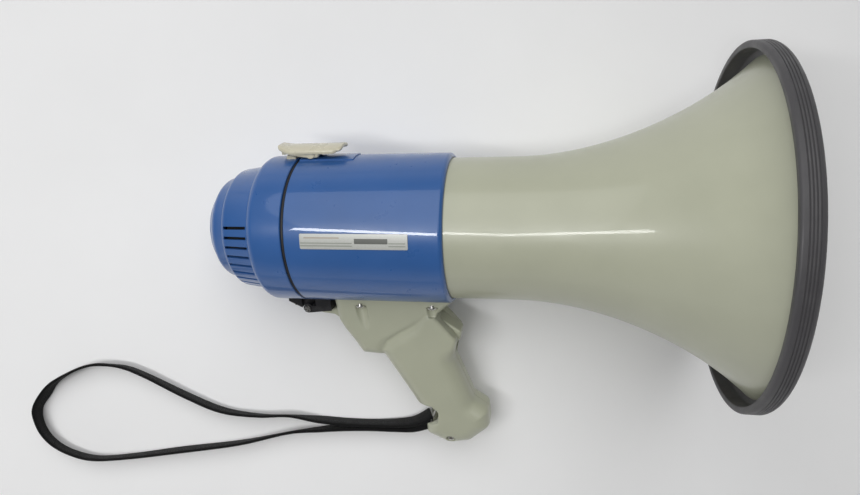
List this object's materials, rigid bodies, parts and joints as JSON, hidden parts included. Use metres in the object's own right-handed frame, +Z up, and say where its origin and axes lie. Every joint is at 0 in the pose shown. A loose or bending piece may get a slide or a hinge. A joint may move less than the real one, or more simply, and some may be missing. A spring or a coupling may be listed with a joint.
{
  "type": "handheld megaphone",
  "caption": "Handheld megaphone lying on its side: folded horn with rubber rim guard, tube body, hinged rear cap with latch, pistol grip with trigger, and a webbing wrist strap.",
  "frame": {"origin": "middle of the overall box of the megaphone without its strap, on the table that it lies on", "axes": "+Z up from the table; +X towards the mouth of the horn, whose axis rises 11.5 degrees from rear to mouth; -Y towards the side that the grip lies on, +Y towards the latch"},
  "size_m": [0.5453, 0.3038, 0.2269],
  "materials": {
    "blue_plastic": "glossy moulded ABS, mid blue",
    "grey_plastic": "semi-gloss moulded ABS, warm grey",
    "cream_plastic": "semi-gloss moulded plastic, cream",
    "black_plastic": "fine moulded texture",
    "guard_rubber": "matt, dark grey",
    "gasket_rubber": "matt black",
    "zinc_steel": "bright zinc plated",
    "ferrite": "ground ferrite",
    "diaphragm_cloth": "resin coated cloth",
    "copper_coil": "enamelled copper wire",
    "brass_contact": "bright spring brass",
    "circuit_board": "solder mask over fibreglass",
    "cell_jacket": "printed steel jacket, plain",
    "screen_cloth": "open black mesh cloth",
    "black_webbing": "flat woven nylon webbing",
    "plate_silver": "silver foil with two grey stripes"
  },
  "bodies": {
    "megaphone": {"horn_bell": "grey_plastic", "bell_rim_guard": "guard_rubber", "tone_arm": "grey_plastic", "reflector_cup": "grey_plastic", "reflector_stays": "grey_plastic", "driver_plate": "zinc_steel", "driver_spacer": "black_plastic", "diaphragm": "diaphragm_cloth", "voice_coil": "copper_coil", "top_plate": "zinc_steel", "magnet": "ferrite", "pole_yoke": "zinc_steel", "driver_screws": "zinc_steel", "body_housing": "blue_plastic", "seam_gasket": "gasket_rubber", "battery_holder": "black_plastic", "battery_cells": "cell_jacket", "battery_springs": "zinc_steel", "battery_contacts": "brass_contact", "battery_cover": "circuit_board", "hinge_body_leaf": "black_plastic", "hinge_pin": "zinc_steel", "hinge_body_screws": "zinc_steel", "latch_base": "blue_plastic", "latch_pin": "zinc_steel", "latch_spring": "zinc_steel", "handle_left": "grey_plastic", "handle_right": "grey_plastic", "handle_screws": "zinc_steel", "grip_screw": "zinc_steel", "trigger_pin": "zinc_steel", "trigger_spring": "zinc_steel", "micro_switch": "black_plastic", "potentiometer": "zinc_steel", "strap_bar": "zinc_steel", "wrist_strap": "black_webbing", "name_plate": "plate_silver"},
    "cap": {"rear_cap": "blue_plastic", "cap_inner_cover": "black_plastic", "contact_blades": "brass_contact", "amplifier_board": "circuit_board", "board_components": "black_plastic", "board_posts": "zinc_steel", "mic_capsule": "zinc_steel", "mic_boot": "gasket_rubber", "mic_screen": "screen_cloth", "hinge_cap_leaf": "black_plastic", "hinge_cap_screws": "zinc_steel", "latch_keeper": "cream_plastic"},
    "latch": {"latch_lever": "cream_plastic"},
    "trigger_body": {"trigger": "grey_plastic"},
    "knob": {"volume_knob": "black_plastic"}
  },
  "joints": [
    {"name": "rear_cap_hinge", "type": "hinge", "parent": "megaphone", "child": "cap", "pos_m": [-0.1226, -0.02926, 0.03378], "axis": [-0.1861, -0.3608, 0.9139], "range_deg": [0, 90]},
    {"name": "latch_pivot", "type": "hinge", "parent": "megaphone", "child": "latch", "pos_m": [-0.11614, 0.07753, 0.07726], "axis": [0.1861, 0.3608, -0.9139], "range_deg": [0, 9], "stiffness_Nm_per_rad": 0.3, "springref_deg": -5.73},
    {"name": "trigger_pivot", "type": "hinge", "parent": "megaphone", "child": "trigger_body", "pos_m": [-0.0306, -0.04045, 0.04809], "axis": [0.1861, 0.3608, -0.9139], "range_deg": [0, 7], "stiffness_Nm_per_rad": 0.4, "springref_deg": -5.73},
    {"name": "volume_turn", "type": "hinge", "parent": "megaphone", "child": "knob", "pos_m": [-0.06602, -0.04117, 0.02156], "axis": [0.1861, 0.3608, -0.9139], "range_deg": [0, 300]}
  ]
}
